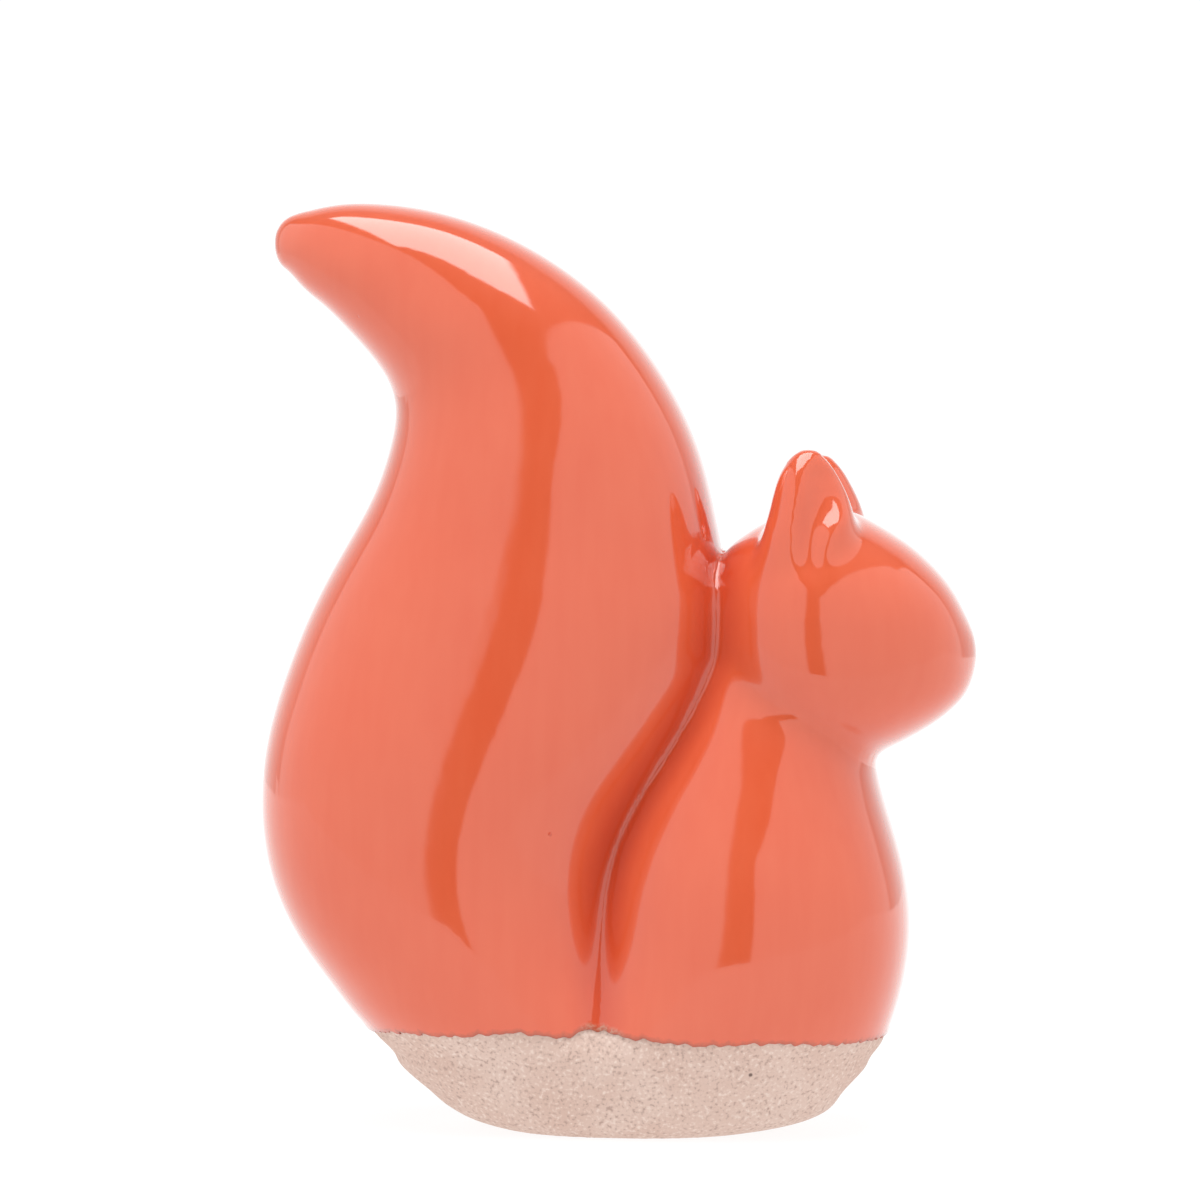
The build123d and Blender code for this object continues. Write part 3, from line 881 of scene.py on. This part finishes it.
def part_along(tree, place, azimuth):
    """How far a direction points along a level azimuth, counted from the camera's."""
    node = tree.nodes.new("ShaderNodeVectorMath")
    node.operation = "DOT_PRODUCT"
    tree.links.new(place, node.inputs[0])
    node.inputs[1].default_value = direction(CAMERA_AZIMUTH + azimuth, 0)
    return node.outputs["Value"]


def panel(tree, place, height, azimuths, tops, soft):
    """Where a tall flat panel is seen between two azimuths, with its top edge at two slopes."""
    middle = sum(azimuths) / 2
    reach = math.tan(math.radians((azimuths[1] - azimuths[0]) / 2))
    facing = calculate(tree, "MAXIMUM", part_along(tree, place, middle), LEAST_FACING)
    across = calculate(tree, "DIVIDE", part_along(tree, place, middle + 90), facing)
    upward = calculate(tree, "DIVIDE", height, facing)
    lean = (tops[1] - tops[0]) / (2 * reach)
    over = calculate(tree, "SUBTRACT", upward, calculate(tree, "MULTIPLY", across, lean))
    level = sum(tops) / 2
    mask = soft_step(tree, across, -reach - soft[0], -reach + soft[0])
    mask = calculate(tree, "MULTIPLY", mask, soft_step(tree, across, reach + soft[1], reach - soft[1]))
    under = soft_step(tree, over, level + PANEL_TOP_SOFT, level - PANEL_TOP_SOFT)
    return calculate(tree, "MULTIPLY", mask, under)


def set_world():
    """A light tent fixed in the figure's frame: two tall panels, a top light and a white back."""
    world = bpy.data.worlds.new("studio")
    tree, add = node_maker(world)
    place = add("ShaderNodeTexCoord").outputs["Generated"]
    split = add("ShaderNodeSeparateXYZ")
    tree.links.new(place, split.inputs[0])
    height = split.outputs["Z"]
    toward = part_along(tree, place, 0)
    aside = part_along(tree, place, 90)
    back = soft_step(tree, toward, *BACK_REACH)
    back = calculate(tree, "MULTIPLY", back, soft_step(tree, height, *BACK_TOP))
    back_glow = ramp(tree, add, toward, BACK_REACH[1], -1.0, *BACK_GLOW)
    dark_glow = ramp(tree, add, height, *DARK_RISE, *DARK_GLOW)
    light = calculate(tree, "MULTIPLY", back, calculate(tree, "SUBTRACT", back_glow, dark_glow))
    light = calculate(tree, "ADD", light, dark_glow)
    for azimuths, tops, soft in ((LEFT_PANEL, LEFT_TOPS, LEFT_SOFT),
                                 (RIGHT_PANEL, RIGHT_TOPS, RIGHT_SOFT)):
        mask = panel(tree, place, height, azimuths, tops, soft)
        rest = calculate(tree, "MULTIPLY", light, calculate(tree, "SUBTRACT", 1.0, mask))
        light = calculate(tree, "ADD", rest, calculate(tree, "MULTIPLY", mask, PANEL_GLOW))
    rise = calculate(tree, "MAXIMUM", height, LEAST_RISE)
    over = 1.0
    for value, (low, high) in ((calculate(tree, "DIVIDE", aside, rise), TOP_ASIDE),
                               (calculate(tree, "DIVIDE", toward, rise), TOP_TOWARD)):
        over = calculate(tree, "MULTIPLY", soft_step(tree, value, low - TOP_SOFT, low + TOP_SOFT), over)
        over = calculate(tree, "MULTIPLY", over, soft_step(tree, value, high + TOP_SOFT, high - TOP_SOFT))
    light = calculate(tree, "ADD", light, calculate(tree, "MULTIPLY", over, TOP_GLOW))
    seen = add("ShaderNodeMix", data_type="FLOAT")
    tree.links.new(add("ShaderNodeLightPath").outputs["Is Camera Ray"], seen.inputs[0])
    tree.links.new(light, seen.inputs[2])
    seen.inputs[3].default_value = BACKDROP_GLOW
    background = add("ShaderNodeBackground")
    background.inputs["Color"].default_value = (1, 1, 1, 1)
    tree.links.new(seen.outputs[0], background.inputs["Strength"])
    output = add("ShaderNodeOutputWorld")
    tree.links.new(background.outputs[0], output.inputs["Surface"])
    bpy.context.scene.world = world


def set_floor():
    """A pale table top that ends a little in front of the figure."""
    toward = direction(CAMERA_AZIMUTH, 0)
    aside = direction(CAMERA_AZIMUTH + 90, 0)
    corners = []
    for along, across in ((1, -1), (1, 1), (-1, 1), (-1, -1)):
        reach = FLOOR_FRONT if along > 0 else FLOOR_REACH
        corners.append((toward * along * reach + aside * across * FLOOR_REACH) / MM)
    flat = new_object("floor", np.array(corners), [(0, 1, 2, 3)])
    flat.location.z = -FLOOR_DROP
    material = bpy.data.materials.new("floor_white")
    tree, add = node_maker(material)
    shader = add("ShaderNodeBsdfPrincipled")
    shader.inputs["Base Color"].default_value = FLOOR_COLOUR
    shader.inputs["Emission Color"].default_value = (1, 1, 1, 1)
    shader.inputs["Emission Strength"].default_value = FLOOR_GLOW
    shader.inputs["Roughness"].default_value = FLOOR_ROUGHNESS
    output = add("ShaderNodeOutputMaterial")
    tree.links.new(shader.outputs["BSDF"], output.inputs["Surface"])
    flat.data.materials.append(material)


def set_camera():
    camera = bpy.data.cameras.new("camera")
    camera.sensor_width = SENSOR_WIDTH
    frame_width = PHOTO_PIXELS / PIXELS_PER_MM * MM
    camera.lens = camera.sensor_width * CAMERA_DISTANCE / frame_width
    made = bpy.data.objects.new("camera", camera)
    back = direction(CAMERA_AZIMUTH, CAMERA_ELEVATION)
    turn = math.radians(CAMERA_AZIMUTH)
    right = Vector((math.cos(turn), math.sin(turn), 0))
    aim = right * CAMERA_ASIDE * MM + Vector((0, 0, CAMERA_HEIGHT * MM))
    made.location = aim + back * CAMERA_DISTANCE
    made.rotation_mode = "QUATERNION"
    made.rotation_quaternion = back.to_track_quat("Z", "Y")
    bpy.context.scene.collection.objects.link(made)
    bpy.context.scene.camera = made


pieces = build_pieces()
glaze = glaze_material()
clay = clay_material("bare_clay")
slip = clay_material("joining_slip")
for node_name, piece in pieces.items():
    coated = node_name.endswith("glaze")
    piece.data.materials.append(glaze if coated else clay)
    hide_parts(node_name)
    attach(piece, "root")
for node_name in ("tail_joint_slip", "neck_joint_slip"):
    for material_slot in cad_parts[node_name].material_slots:
        material_slot.material = slip

set_world()
set_floor()
set_camera()
bpy.context.scene.view_settings.view_transform = "Standard"
